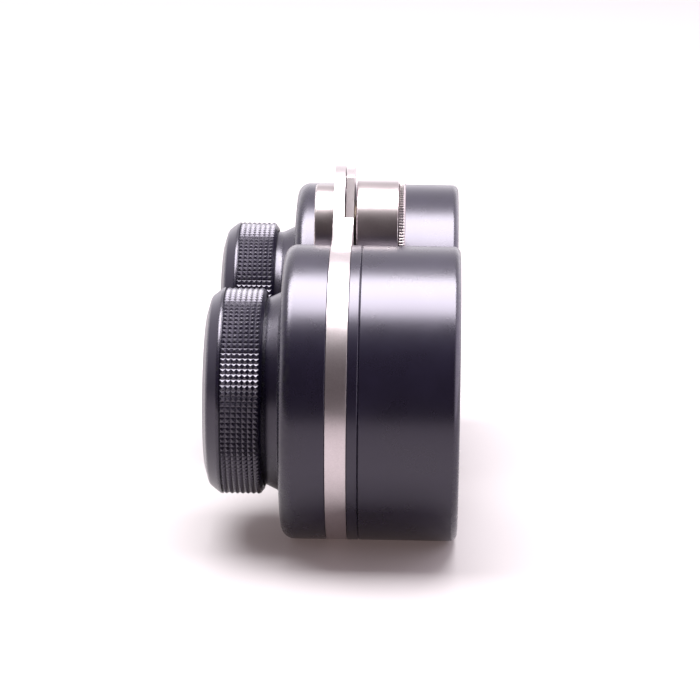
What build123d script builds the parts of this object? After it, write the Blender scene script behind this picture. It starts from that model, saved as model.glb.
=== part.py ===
"""Compact wide-field binocular, folded nearly closed and lying on its two barrels.

Two short barrels hang from one hinge. Each barrel is a stack on one axis: a front tube with
the objective lenses, a lock ring, the ring of a hinge arm, a rear housing and a focusing
eyepiece. The ears of the two arms are half-lapped on the hinge axle.

Row frame in mm: +X points out of the objectives, +Y to the user's left, +Z up. Stations
along a barrel are measured from the front rim, so they are all negative.
"""
from math import cos
from math import radians
from math import sin
from math import sqrt
from math import tan
import os

from build123d import *

# Overall layout
BARREL_R = 27.0
REST_DIP_DEG = 40.0
OPEN_TRAVEL_DEG = 80.0
CLOSE_TRAVEL_DEG = 3.0
RIGHT = -1
LEFT = 1

# Lengths of the stack, from the front rim backwards
TUBE_LEN = 17.97
LOCK_LEN = 2.05
ARM_THICK = 3.71
HOUSING_LEN = 8.37
NECK_SHOWN = 3.75
GRIP_LEN = 6.9
BEZEL_LEN = 3.4

# Clearances
FIT_GAP = 0.05
RUNNING_GAP = 0.04
PART_GAP = 0.3
FACE_GAP = 0.03

# Front tube and objective
TUBE_EDGE_ROUND = 1.3
SEAM_CHAMFER = 0.2
RECESS_WALL = 3.0
RECESS_DEPTH = 3.4
RECESS_CHAMFER = 0.8
SEAT_WALL = 4.0
SEAT_DEPTH = 13.0
SEAT_STEP = 2.0
SEAT_THICK = 1.0
REAR_LENS_EDGE = 3.0
REAR_LENS_DISH = 1.6
LENS_SPACER_LEN = 0.6
FRONT_LENS_EDGE = 2.4
FRONT_LENS_BACK_BULGE = 1.8
FRONT_LENS_BULGE = 3.0
OBJECTIVE_RETAINER_LEN = 1.8
LENS_ARC_SHAPE = 0.75
NOTCH_WIDTH = 1.6
NOTCH_DEPTH = 0.7

# Rear housing
ARM_RING_WALL = 5.0
SPIGOT_WALL = 2.0
HOUSING_EDGE_ROUND = 2.4
HOUSING_FLOOR = 1.9
BAFFLE_SEAT_STEP = 1.0
BAFFLE_SEAT_DEPTH = 1.23
BAFFLE_LEN = 2.0
BAFFLE_RISE = 2.0
NECK_WALL = 1.55
NECK_FLARE_RISE = 1.4
NECK_FLARE_LEN = 2.95
NECK_FLARE_ROUND = 1.0
NECK_END_GAP = 0.4

# Eyepiece as on the right barrel; the left one rests LEFT_EYE_OUT further out
LEFT_EYE_OUT = 0.69
FOCUS_IN = 1.0
FOCUS_OUT = 2.6
GRIP_R = 18.94
GRIP_SKIRT_GAP = 0.45
GRIP_SKIRT_WALL = 1.01
GRIP_FRONT_CHAMFER = 0.5
GRIP_WEB = 1.55
KNURL_ROWS = 7
KNURL_DEPTH = 0.33
BEZEL_BAND = 0.5
BEZEL_CORNER_LEN = 2.6
BEZEL_CORNER_DROP = 1.64
BEZEL_FACE_DROP = 4.34
BEZEL_CORNER_ROUND = 1.2
EYE_MOUTH_RISE = 1.5
EYE_BORE_RISE = 0.4
CELL_LEN = 9.8
CELL_WALL = 2.05
CELL_FRONT_RISE = 0.5
CELL_FLANGE_RISE = 1.05
CELL_FLANGE_LEN = 0.42
CELL_SHOULDER_DEPTH = 6.7
CELL_SHOULDER_LEN = 1.0
CELL_SEAT_STEP = 1.3
FIELD_LENS_EDGE = 3.5
FIELD_LENS_BACK_DISH = 1.0
FIELD_LENS_FRONT_DISH = 1.2
EYE_SPACER_LEN = 0.6
EYE_LENS_EDGE = 1.6
EYE_LENS_DISH = 0.8
EYE_LENS_BULGE = 0.4
EYE_RETAINER_LEN = 0.8
CLIP_LEN = 0.6
CLIP_RISE = 0.95
CLIP_GROOVE_DEPTH = 0.45
CLIP_GAP = 3.0
KEY_R = 1.0
KEY_FROM_END = 1.2
KEY_DEPTH = 0.9

# Hinge
HINGE_TO_BARREL_GAP = 0.4
EAR_A_THICK = 1.98
EAR_GAP = 0.23
EAR_A_R = 12.8
EAR_B_R = 12.3
EAR_RELIEF_GAP = 1.3
EAR_FLAT = 10.14
EAR_FLAT_LEAN_DEG = 6.0
WEB_ROUND = 17.0
AXLE_R = 4.0
AXLE_END_GAP = 0.6
AXLE_HEAD_RISE = 2.5
AXLE_HEAD_LEN = 2.0
REAR_CAP_R = 9.0
REAR_CAP_LEN = 3.77
WASHER_RISE = 2.0
SLEEVE_R = 9.8
SLEEVE_GAP = 0.42
SLEEVE_LEN = 7.9
SLEEVE_FLOOR = 1.4
SLEEVE_WALL = 2.5
SPRING_LEN = 1.0
SPRING_THICK = 0.6
NUT_GAP = 0.4
NUT_LEN = 2.6
END_CAP_LEN = 1.3
END_CAP_DROP = 0.2
END_CAP_PLUG_LEN = 1.9
END_CAP_RIM = 2.2
END_CAP_DISH = 0.35
TURNED_CHAMFER = 0.35
STOP_PIN_R = 0.8
STOP_PIN_TO_WASHER = 1.6
STOP_PIN_FLOOR = 0.53
STOP_PIN_TIP_GAP = 0.3
DOWEL_R = 0.9
DOWEL_HALF_LEN = 1.5

# Radii and places that follow from the sizes above
RECESS_R = BARREL_R - RECESS_WALL
LENS_SEAT_R = BARREL_R - SEAT_WALL
OBJECTIVE_R = LENS_SEAT_R - SEAT_STEP
SPIGOT_R = BARREL_R - ARM_RING_WALL
HOUSING_BORE_R = SPIGOT_R - SPIGOT_WALL
BAFFLE_SEAT_R = HOUSING_BORE_R - BAFFLE_SEAT_STEP
BAFFLE_R = BAFFLE_SEAT_R - BAFFLE_RISE
DOWEL_ORBIT = (SPIGOT_R + BARREL_R) / 2
NECK_R = GRIP_R - KNURL_DEPTH - GRIP_SKIRT_WALL - GRIP_SKIRT_GAP
NECK_FLARE_R = NECK_R + NECK_FLARE_RISE
NECK_BORE_R = NECK_R - NECK_WALL
CELL_R = NECK_BORE_R - FIT_GAP
CELL_BORE_R = CELL_R - CELL_WALL
CELL_FRONT_BORE_R = CELL_BORE_R + CELL_FRONT_RISE
CELL_FLANGE_R = CELL_R + CELL_FLANGE_RISE
CLIP_R = CELL_R + CLIP_RISE
OCULAR_R = CELL_BORE_R - CELL_SEAT_STEP
EYE_MOUTH_R = OCULAR_R + EYE_MOUTH_RISE
EYE_BORE_R = OCULAR_R + EYE_BORE_RISE
BEZEL_CORNER_R = GRIP_R - BEZEL_CORNER_DROP
BEZEL_FACE_R = GRIP_R - BEZEL_FACE_DROP
EAR_RELIEF_R = EAR_A_R + EAR_RELIEF_GAP
AXLE_HEAD_R = AXLE_R + AXLE_HEAD_RISE
WASHER_R = AXLE_R + WASHER_RISE
STOP_PIN_ORBIT = WASHER_R + STOP_PIN_TO_WASHER
SLEEVE_BORE_R = SLEEVE_R - SLEEVE_WALL
NUT_R = SLEEVE_BORE_R - NUT_GAP
END_CAP_R = SLEEVE_R - END_CAP_DROP
END_CAP_DISH_R = END_CAP_R - END_CAP_RIM

RECESS_X = -RECESS_DEPTH
LENS_SEAT_X = -SEAT_DEPTH
TUBE_STEP_X = LENS_SEAT_X - SEAT_THICK
SPIGOT_FRONT_X = TUBE_STEP_X - PART_GAP
TUBE_BACK_X = -TUBE_LEN
LOCK_BACK_X = TUBE_BACK_X - LOCK_LEN
ARM_BACK_X = LOCK_BACK_X - ARM_THICK
SHOULDER_X = ARM_BACK_X - HOUSING_LEN
GRIP_FRONT_X = SHOULDER_X - NECK_SHOWN
GRIP_BACK_X = GRIP_FRONT_X - GRIP_LEN
EYE_END_X = GRIP_BACK_X - BEZEL_LEN
REAR_LENS_FRONT_X = LENS_SEAT_X + REAR_LENS_EDGE
FRONT_LENS_BACK_X = REAR_LENS_FRONT_X + LENS_SPACER_LEN
FRONT_LENS_FRONT_X = FRONT_LENS_BACK_X + FRONT_LENS_EDGE
OBJECTIVE_RETAINER_FRONT_X = FRONT_LENS_FRONT_X + OBJECTIVE_RETAINER_LEN
HOUSING_FLOOR_X = SHOULDER_X + HOUSING_FLOOR
BAFFLE_SEAT_X = ARM_BACK_X + BAFFLE_SEAT_DEPTH
NECK_FLARE_X = SHOULDER_X - NECK_FLARE_LEN
GRIP_WEB_X = GRIP_BACK_X + GRIP_WEB
NECK_END_X = GRIP_WEB_X + CLIP_LEN + FOCUS_IN + NECK_END_GAP
KEY_X = NECK_END_X + KEY_FROM_END
BEZEL_CORNER_X = GRIP_BACK_X - BEZEL_CORNER_LEN
CELL_BACK_X = GRIP_BACK_X - CELL_FLANGE_LEN - FACE_GAP
CELL_FRONT_X = CELL_BACK_X + CELL_LEN
CELL_SHOULDER_X = CELL_BACK_X + CELL_SHOULDER_DEPTH
FIELD_LENS_BACK_X = CELL_SHOULDER_X - FIELD_LENS_EDGE
EYE_LENS_FRONT_X = FIELD_LENS_BACK_X - EYE_SPACER_LEN
EYE_LENS_BACK_X = EYE_LENS_FRONT_X - EYE_LENS_EDGE
EYE_RETAINER_BACK_X = EYE_LENS_BACK_X - EYE_RETAINER_LEN
EAR_A_FRONT_X = ARM_BACK_X + EAR_A_THICK
EAR_B_BACK_X = EAR_A_FRONT_X + EAR_GAP
REAR_CAP_BACK_X = ARM_BACK_X - REAR_CAP_LEN
SLEEVE_BACK_X = LOCK_BACK_X + SLEEVE_GAP
SLEEVE_FRONT_X = SLEEVE_BACK_X + SLEEVE_LEN
SLEEVE_FLOOR_X = SLEEVE_BACK_X + SLEEVE_FLOOR
NUT_BACK_X = SLEEVE_FLOOR_X + SPRING_LEN
END_CAP_FRONT_X = SLEEVE_FRONT_X + END_CAP_LEN
AXLE_FRONT_X = SLEEVE_FRONT_X - END_CAP_PLUG_LEN - AXLE_END_GAP
STOP_PIN_BACK_X = ARM_BACK_X + STOP_PIN_FLOOR
HINGE_ARM = BARREL_R + HINGE_TO_BARREL_GAP + SLEEVE_R
AXIS_HALF_SPACING = HINGE_ARM * cos(radians(REST_DIP_DEG))
HINGE_Z = BARREL_R + HINGE_ARM * sin(radians(REST_DIP_DEG))
ROW_SHIFT_X = -(EYE_END_X - LEFT_EYE_OUT) / 2

nodes = {}


def rounded_corner(before, at, after, radius):
    """Return start, middle and end of the arc that rounds one corner of an outline."""
    to_before = (Vector(*before) - Vector(*at)).normalized()
    to_after = (Vector(*after) - Vector(*at)).normalized()
    half_angle = radians(to_before.get_angle(to_after)) / 2
    reach = radius / tan(half_angle)
    bisector = (to_before + to_after).normalized()
    middle = Vector(*at) + bisector * (radius / sin(half_angle) - radius)
    return Vector(*at) + to_before * reach, middle, Vector(*at) + to_after * reach


def outline(points):
    """Make a face from corners (x, y) or (x, y, corner radius)."""
    count = len(points)
    stops = []
    for index, point in enumerate(points):
        if len(point) == 3:
            before = points[index - 1][:2]
            after = points[(index + 1) % count][:2]
            stops.append(rounded_corner(before, point[:2], after, point[2]))
        else:
            stops.append((Vector(*point),))
    edges = []
    for index, stop in enumerate(stops):
        following = stops[(index + 1) % count][0]
        if len(stop) == 3:
            edges.append(ThreePointArc(*stop))
        edges.append(Line(stop[-1], following))
    return make_face(edges)


def turned(points):
    """Revolve an (x, radius) outline about the X axis."""
    return revolve(outline(points), axis=Axis.X)


def ring(back_x, front_x, outer_r, inner_r):
    """Plain ring about the X axis."""
    return turned([(back_x, inner_r), (back_x, outer_r), (front_x, outer_r), (front_x, inner_r)])


def lens_face(land_x, clear_r, bulge):
    """Edge of one lens face from the axis out to clear_r."""
    if bulge == 0:
        return Line((land_x, 0), (land_x, clear_r))
    shoulder = (land_x + LENS_ARC_SHAPE * bulge, clear_r / 2)
    return ThreePointArc((land_x + bulge, 0), shoulder, (land_x, clear_r))


def lens(back_x, front_x, edge_r, clear_r, back_bulge, front_bulge):
    """Round lens with flat lands outside clear_r; a negative bulge is a dished face."""
    edges = [
        lens_face(back_x, clear_r, -back_bulge),
        Line((back_x, clear_r), (back_x, edge_r)),
        Line((back_x, edge_r), (front_x, edge_r)),
        Line((front_x, edge_r), (front_x, clear_r)),
        lens_face(front_x, clear_r, front_bulge),
        Line((front_x + front_bulge, 0), (back_x - back_bulge, 0)),
    ]
    return revolve(make_face(edges), axis=Axis.X)


def slab(back_x, front_x, sketch):
    """Extrude a sketch drawn in row Y and Z between two stations."""
    return extrude(Plane.YZ.offset(back_x) * sketch, amount=front_x - back_x)


def notched(solid, face_x, orbit, depth):
    """Cut two spanner notches across a retaining ring at face_x."""
    for side in (-1, 1):
        solid -= Pos(face_x, side * orbit, 0) * Box(2 * NOTCH_DEPTH, depth, NOTCH_WIDTH)
    return solid


def store(name, solid, place=Pos(0, 0, 0)):
    """Keep one node in the row frame."""
    nodes[name] = Pos(ROW_SHIFT_X, 0, 0) * place * solid


def arm_outline(side, ear_r):
    """Outline of a hinge arm: barrel ring, hinge ear and the web above them."""
    dip = radians(REST_DIP_DEG)

    def at(along, across):
        y = side * (AXIS_HALF_SPACING - along * cos(dip) + across * sin(dip))
        return y, BARREL_R + along * sin(dip) + across * cos(dip)

    to_barrel = BARREL_R + WEB_ROUND
    to_hinge = ear_r + WEB_ROUND
    along = (to_barrel ** 2 - to_hinge ** 2 + HINGE_ARM ** 2) / (2 * HINGE_ARM)
    across = sqrt(to_barrel ** 2 - along ** 2)
    ring_touch = (along * BARREL_R / to_barrel, across * BARREL_R / to_barrel)
    ear_touch = (HINGE_ARM + (along - HINGE_ARM) * ear_r / to_hinge, across * ear_r / to_hinge)
    centre = Vector(along, across)
    halfway = (Vector(*ring_touch) + Vector(*ear_touch)) / 2
    deepest = centre + (halfway - centre).normalized() * WEB_ROUND
    web = make_face([
        ThreePointArc(at(*ring_touch), at(deepest.X, deepest.Y), at(*ear_touch)),
        Line(at(*ear_touch), at(HINGE_ARM, 0)),
        Line(at(HINGE_ARM, 0), at(0, 0)),
        Line(at(0, 0), at(*ring_touch)),
    ])
    return Pos(*at(0, 0)) * Circle(BARREL_R) + Pos(*at(HINGE_ARM, 0)) * Circle(ear_r) + web


def hinge_arm(side):
    """Arm of one barrel, full thickness round the barrel and half-lapped at the hinge."""
    if side == RIGHT:
        ear_r, relief_back, relief_front = EAR_A_R, EAR_A_FRONT_X, LOCK_BACK_X
        axle_hole_r = AXLE_R + FIT_GAP
    else:
        ear_r, relief_back, relief_front = EAR_B_R, ARM_BACK_X, EAR_B_BACK_X
        axle_hole_r = AXLE_R + RUNNING_GAP
    solid = slab(ARM_BACK_X, LOCK_BACK_X, arm_outline(side, ear_r))
    solid -= slab(relief_back, relief_front, Pos(0, HINGE_Z) * Circle(EAR_RELIEF_R))
    barrel = Pos(side * AXIS_HALF_SPACING, BARREL_R)
    solid -= slab(ARM_BACK_X, LOCK_BACK_X, barrel * Circle(SPIGOT_R + FIT_GAP))
    solid -= slab(ARM_BACK_X, LOCK_BACK_X, Pos(0, HINGE_Z) * Circle(axle_hole_r))
    away = REST_DIP_DEG - EAR_FLAT_LEAN_DEG
    away = away if side == RIGHT else 180 - away
    beyond = Pos(EAR_FLAT + EAR_A_R / 2, 0) * Rectangle(EAR_A_R, 3 * EAR_A_R)
    solid -= slab(ARM_BACK_X, LOCK_BACK_X, Pos(0, HINGE_Z) * Rot(0, 0, away) * beyond)
    if side == RIGHT:
        pin = Pos(0, HINGE_Z + STOP_PIN_ORBIT) * Circle(STOP_PIN_R + FIT_GAP)
        solid -= slab(STOP_PIN_BACK_X, LOCK_BACK_X, pin)
    else:
        track = CenterArc((0, 0), STOP_PIN_ORBIT, 90 - OPEN_TRAVEL_DEG, OPEN_TRAVEL_DEG + CLOSE_TRAVEL_DEG)
        slot = SlotArc(arc=track, height=2 * (STOP_PIN_R + PART_GAP))
        solid -= slab(ARM_BACK_X, LOCK_BACK_X, Pos(0, HINGE_Z) * slot)
    dowel = Pos(0, -DOWEL_ORBIT) * Circle(DOWEL_R + FIT_GAP)
    return solid - slab(ARM_BACK_X, ARM_BACK_X + DOWEL_HALF_LEN, barrel * dowel)


def front_tube():
    """Black front tube with the objective seat."""
    return turned([
        (TUBE_BACK_X, SPIGOT_R + FIT_GAP),
        (TUBE_BACK_X, BARREL_R - SEAM_CHAMFER),
        (TUBE_BACK_X + SEAM_CHAMFER, BARREL_R),
        (0, BARREL_R, TUBE_EDGE_ROUND),
        (0, RECESS_R + RECESS_CHAMFER),
        (-RECESS_CHAMFER, RECESS_R),
        (RECESS_X, RECESS_R),
        (RECESS_X, LENS_SEAT_R),
        (LENS_SEAT_X, LENS_SEAT_R),
        (LENS_SEAT_X, OBJECTIVE_R),
        (TUBE_STEP_X, OBJECTIVE_R),
        (TUBE_STEP_X, SPIGOT_R + FIT_GAP),
    ])


def rear_housing():
    """Black rear housing: spigot, shoulder and the neck the eyepiece runs on."""
    solid = turned([
        (SPIGOT_FRONT_X, HOUSING_BORE_R),
        (SPIGOT_FRONT_X, SPIGOT_R),
        (ARM_BACK_X, SPIGOT_R),
        (ARM_BACK_X, BARREL_R),
        (SHOULDER_X, BARREL_R, HOUSING_EDGE_ROUND),
        (SHOULDER_X, NECK_FLARE_R, NECK_FLARE_ROUND),
        (NECK_FLARE_X, NECK_R),
        (NECK_END_X, NECK_R),
        (NECK_END_X, NECK_BORE_R),
        (HOUSING_FLOOR_X, NECK_BORE_R),
        (HOUSING_FLOOR_X, BAFFLE_SEAT_R),
        (BAFFLE_SEAT_X, BAFFLE_SEAT_R),
        (BAFFLE_SEAT_X, HOUSING_BORE_R),
    ])
    key_hole_r = KEY_R + FIT_GAP
    solid -= Pos(KEY_X, 0, NECK_R) * Cylinder(key_hole_r, 2 * (NECK_R - NECK_BORE_R) + KEY_DEPTH)
    dowel_hole = Rot(0, 90, 0) * Cylinder(DOWEL_R + FIT_GAP, 2 * DOWEL_HALF_LEN)
    return solid - Pos(ARM_BACK_X, 0, -DOWEL_ORBIT) * dowel_hole


def light_baffle():
    """Knife-edged ring that stops stray light inside the housing."""
    return turned([
        (BAFFLE_SEAT_X, HOUSING_BORE_R - FIT_GAP),
        (BAFFLE_SEAT_X + BAFFLE_LEN, HOUSING_BORE_R - FIT_GAP),
        (BAFFLE_SEAT_X + BAFFLE_LEN, BAFFLE_SEAT_R),
        (BAFFLE_SEAT_X + PART_GAP, BAFFLE_R),
        (BAFFLE_SEAT_X, BAFFLE_R),
    ])


def ocular_cell():
    """Sliding cell that carries the eye lenses and is keyed to the neck."""
    groove_back_x = GRIP_WEB_X
    groove_front_x = GRIP_WEB_X + CLIP_LEN
    groove_r = CELL_R - CLIP_GROOVE_DEPTH
    solid = turned([
        (CELL_BACK_X, CELL_BORE_R),
        (CELL_BACK_X, CELL_FLANGE_R),
        (CELL_BACK_X + CELL_FLANGE_LEN, CELL_FLANGE_R),
        (CELL_BACK_X + CELL_FLANGE_LEN, CELL_R),
        (groove_back_x, CELL_R),
        (groove_back_x, groove_r),
        (groove_front_x, groove_r),
        (groove_front_x, CELL_R),
        (CELL_FRONT_X, CELL_R),
        (CELL_FRONT_X, CELL_FRONT_BORE_R),
        (CELL_SHOULDER_X + CELL_SHOULDER_LEN, OCULAR_R),
        (CELL_SHOULDER_X, OCULAR_R),
        (CELL_SHOULDER_X, CELL_BORE_R),
    ])
    slot_len = FOCUS_IN + FOCUS_OUT + 2 * (KEY_R + PART_GAP)
    slot_x = KEY_X + (FOCUS_OUT - FOCUS_IN) / 2
    slot_width = 2 * KEY_R + 4 * FIT_GAP
    slot_depth = 2 * (KEY_DEPTH + FIT_GAP)
    return solid - Pos(slot_x, 0, CELL_R) * Box(slot_len, slot_width, slot_depth)


def focus_key():
    """Round key set in the neck wall that stops the ocular cell from turning."""
    length = NECK_R - CELL_R + KEY_DEPTH - 2 * FIT_GAP
    return Pos(KEY_X, 0, NECK_R - FIT_GAP - length / 2) * Cylinder(KEY_R, length)


def ocular_clip():
    """Split ring in the cell's groove that holds the grip on the cell."""
    inner_r = CELL_R - CLIP_GROOVE_DEPTH
    solid = ring(GRIP_WEB_X, GRIP_WEB_X + CLIP_LEN, CLIP_R, inner_r)
    return solid - Pos(GRIP_WEB_X, 0, -CLIP_R) * Box(4 * CLIP_LEN, CLIP_GAP, CLIP_R / 2)


def focus_grip():
    """Knurled grip with one turned groove between neighbouring rows of the knurl."""
    web_r = CELL_R + RUNNING_GAP
    skirt_r = NECK_R + GRIP_SKIRT_GAP
    pitch = (GRIP_FRONT_X - GRIP_BACK_X) / KNURL_ROWS
    points = [(GRIP_BACK_X, web_r), (GRIP_BACK_X, GRIP_R - KNURL_DEPTH)]
    for row in range(KNURL_ROWS):
        points.append((GRIP_BACK_X + (row + 0.5) * pitch, GRIP_R))
        points.append((GRIP_BACK_X + (row + 1) * pitch, GRIP_R - KNURL_DEPTH))
    points.append((GRIP_FRONT_X + GRIP_FRONT_CHAMFER, skirt_r + GRIP_FRONT_CHAMFER))
    points.append((GRIP_FRONT_X + GRIP_FRONT_CHAMFER, skirt_r))
    points.append((GRIP_WEB_X, skirt_r))
    points.append((GRIP_WEB_X, web_r))
    return turned(points)


def eye_bezel():
    """Smooth black bezel that closes the eyepiece."""
    pocket_r = CELL_FLANGE_R + PART_GAP
    pocket_x = CELL_BACK_X - PART_GAP
    return turned([
        (GRIP_BACK_X, pocket_r),
        (GRIP_BACK_X, GRIP_R),
        (GRIP_BACK_X - BEZEL_BAND, GRIP_R, BEZEL_CORNER_ROUND),
        (BEZEL_CORNER_X, BEZEL_CORNER_R, BEZEL_CORNER_ROUND),
        (EYE_END_X, BEZEL_FACE_R, BEZEL_CORNER_ROUND),
        (EYE_END_X, EYE_MOUTH_R),
        (pocket_x - PART_GAP, EYE_BORE_R),
        (pocket_x, EYE_BORE_R),
        (pocket_x, pocket_r),
    ])


def build_barrel(side, name, eye_out):
    """All nodes of one barrel."""
    here = Pos(0, side * AXIS_HALF_SPACING, BARREL_R)
    eye = Pos(-eye_out, side * AXIS_HALF_SPACING, BARREL_R)
    seat_r = LENS_SEAT_R - FIT_GAP
    eye_seat_r = CELL_BORE_R - FIT_GAP
    retainer = ring(FRONT_LENS_FRONT_X, OBJECTIVE_RETAINER_FRONT_X, seat_r, OBJECTIVE_R)
    eye_retainer = ring(EYE_RETAINER_BACK_X, EYE_LENS_BACK_X, eye_seat_r, OCULAR_R)
    store(name + "_arm", hinge_arm(side))
    store(name + "_rear_housing", rear_housing(), here)
    store(name + "_lock_ring", turned([
        (LOCK_BACK_X, SPIGOT_R + FIT_GAP),
        (LOCK_BACK_X, BARREL_R),
        (TUBE_BACK_X - SEAM_CHAMFER, BARREL_R),
        (TUBE_BACK_X, BARREL_R - SEAM_CHAMFER),
        (TUBE_BACK_X, SPIGOT_R + FIT_GAP),
    ]), here)
    store(name + "_front_tube", front_tube(), here)
    store(name + "_objective_rear_lens", lens(
        LENS_SEAT_X, REAR_LENS_FRONT_X, seat_r, OBJECTIVE_R, 0, -REAR_LENS_DISH), here)
    store(name + "_objective_spacer", ring(
        REAR_LENS_FRONT_X, FRONT_LENS_BACK_X, seat_r, OBJECTIVE_R), here)
    store(name + "_objective_front_lens", lens(
        FRONT_LENS_BACK_X, FRONT_LENS_FRONT_X, seat_r, OBJECTIVE_R,
        FRONT_LENS_BACK_BULGE, FRONT_LENS_BULGE), here)
    store(name + "_objective_retainer", notched(
        retainer, OBJECTIVE_RETAINER_FRONT_X, OBJECTIVE_R, LENS_SEAT_R - OBJECTIVE_R), here)
    store(name + "_light_baffle", light_baffle(), here)
    store(name + "_arm_dowel", Pos(ARM_BACK_X, 0, -DOWEL_ORBIT) * Rot(0, 90, 0) * Cylinder(
        DOWEL_R, 2 * DOWEL_HALF_LEN), here)
    store(name + "_focus_key", focus_key(), here)
    store(name + "_ocular_cell", ocular_cell(), eye)
    store(name + "_ocular_field_lens", lens(
        FIELD_LENS_BACK_X, CELL_SHOULDER_X, eye_seat_r, OCULAR_R,
        -FIELD_LENS_BACK_DISH, -FIELD_LENS_FRONT_DISH), eye)
    store(name + "_ocular_spacer", ring(EYE_LENS_FRONT_X, FIELD_LENS_BACK_X, eye_seat_r, OCULAR_R), eye)
    store(name + "_ocular_eye_lens", lens(
        EYE_LENS_BACK_X, EYE_LENS_FRONT_X, eye_seat_r, OCULAR_R, -EYE_LENS_DISH, EYE_LENS_BULGE), eye)
    store(name + "_ocular_retainer", notched(
        eye_retainer, EYE_RETAINER_BACK_X, OCULAR_R, CELL_BORE_R - OCULAR_R), eye)
    store(name + "_ocular_clip", ocular_clip(), eye)
    store(name + "_focus_grip", focus_grip(), eye)
    store(name + "_eye_bezel", eye_bezel(), eye)


def build_hinge():
    """All nodes on the hinge axis; only the left arm turns on them."""
    here = Pos(0, 0, HINGE_Z)
    head_x = ARM_BACK_X - AXLE_HEAD_LEN
    hole_r = AXLE_R + FIT_GAP
    store("hinge_axle", turned([
        (head_x, 0),
        (head_x, AXLE_HEAD_R),
        (ARM_BACK_X, AXLE_HEAD_R),
        (ARM_BACK_X, AXLE_R),
        (AXLE_FRONT_X, AXLE_R),
        (AXLE_FRONT_X, 0),
    ]), here)
    store("hinge_rear_cap", turned([
        (REAR_CAP_BACK_X, 0),
        (REAR_CAP_BACK_X, REAR_CAP_R - TURNED_CHAMFER),
        (REAR_CAP_BACK_X + TURNED_CHAMFER, REAR_CAP_R),
        (ARM_BACK_X, REAR_CAP_R),
        (ARM_BACK_X, AXLE_HEAD_R + FIT_GAP),
        (head_x - FIT_GAP, AXLE_HEAD_R + FIT_GAP),
        (head_x - FIT_GAP, 0),
    ]), here)
    store("hinge_mid_washer", ring(EAR_A_FRONT_X, EAR_B_BACK_X - FACE_GAP, WASHER_R, hole_r), here)
    store("hinge_front_washer", ring(LOCK_BACK_X + FACE_GAP, SLEEVE_BACK_X, WASHER_R, hole_r), here)
    store("hinge_front_sleeve", turned([
        (SLEEVE_BACK_X, hole_r),
        (SLEEVE_BACK_X, SLEEVE_R - TURNED_CHAMFER),
        (SLEEVE_BACK_X + TURNED_CHAMFER, SLEEVE_R),
        (SLEEVE_FRONT_X, SLEEVE_R),
        (SLEEVE_FRONT_X, SLEEVE_BORE_R),
        (SLEEVE_FLOOR_X, SLEEVE_BORE_R),
        (SLEEVE_FLOOR_X, hole_r),
    ]), here)
    store("hinge_spring_washer", turned([
        (SLEEVE_FLOOR_X, NUT_R - SPRING_THICK),
        (SLEEVE_FLOOR_X, NUT_R),
        (SLEEVE_FLOOR_X + SPRING_THICK, NUT_R),
        (NUT_BACK_X, hole_r + SPRING_THICK),
        (NUT_BACK_X, hole_r),
        (NUT_BACK_X - SPRING_THICK, hole_r),
    ]), here)
    nut = ring(NUT_BACK_X, NUT_BACK_X + NUT_LEN, NUT_R, hole_r)
    store("hinge_tension_nut", notched(nut, NUT_BACK_X + NUT_LEN, NUT_R, NUT_R - AXLE_R), here)
    plug_r = SLEEVE_BORE_R - FIT_GAP
    store("hinge_end_cap", turned([
        (SLEEVE_FRONT_X - END_CAP_PLUG_LEN, 0),
        (SLEEVE_FRONT_X - END_CAP_PLUG_LEN, plug_r),
        (SLEEVE_FRONT_X, plug_r),
        (SLEEVE_FRONT_X, END_CAP_R),
        (END_CAP_FRONT_X - TURNED_CHAMFER, END_CAP_R),
        (END_CAP_FRONT_X, END_CAP_R - TURNED_CHAMFER),
        (END_CAP_FRONT_X, END_CAP_DISH_R),
        (END_CAP_FRONT_X - END_CAP_DISH, END_CAP_DISH_R - END_CAP_DISH),
        (END_CAP_FRONT_X - END_CAP_DISH, 0),
    ]), here)
    pin_tip_x = LOCK_BACK_X - STOP_PIN_TIP_GAP
    pin = Circle(STOP_PIN_R)
    store("hinge_stop_pin", slab(STOP_PIN_BACK_X, pin_tip_x, Pos(0, HINGE_Z + STOP_PIN_ORBIT) * pin))


build_barrel(RIGHT, "right", 0)
build_barrel(LEFT, "left", LEFT_EYE_OUT)
build_hinge()

os.makedirs("parts", exist_ok=True)
for node_name, shape in nodes.items():
    export_step(shape, os.path.join("parts", node_name + ".step"))
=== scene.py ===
"""Looks of the folded wide-field binocular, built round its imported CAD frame.

Every place and radius comes from the CAD boxes. Sizes below are in mm and are turned into
metres only when a mesh is made. Stations along a barrel run from the front rim, so they are
negative, as in the CAD source.
"""
import math

import bpy
import bmesh
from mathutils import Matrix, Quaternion, Vector


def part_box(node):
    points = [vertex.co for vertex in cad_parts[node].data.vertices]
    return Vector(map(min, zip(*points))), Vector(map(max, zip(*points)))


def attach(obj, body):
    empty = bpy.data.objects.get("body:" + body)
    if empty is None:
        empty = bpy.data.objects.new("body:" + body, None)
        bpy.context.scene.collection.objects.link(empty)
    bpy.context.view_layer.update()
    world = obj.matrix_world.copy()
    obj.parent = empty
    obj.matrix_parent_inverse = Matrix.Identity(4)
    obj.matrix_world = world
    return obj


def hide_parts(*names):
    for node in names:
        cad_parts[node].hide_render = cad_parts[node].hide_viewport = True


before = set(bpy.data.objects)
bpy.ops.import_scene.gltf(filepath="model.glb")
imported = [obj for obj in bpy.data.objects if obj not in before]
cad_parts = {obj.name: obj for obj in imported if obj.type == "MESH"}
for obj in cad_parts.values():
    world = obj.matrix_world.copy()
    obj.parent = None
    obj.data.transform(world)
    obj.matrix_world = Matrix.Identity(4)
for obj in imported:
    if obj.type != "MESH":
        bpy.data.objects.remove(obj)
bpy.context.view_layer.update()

MM = 0.001
UM = 1e-6
SIDES = {"right": -1, "left": 1}

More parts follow.
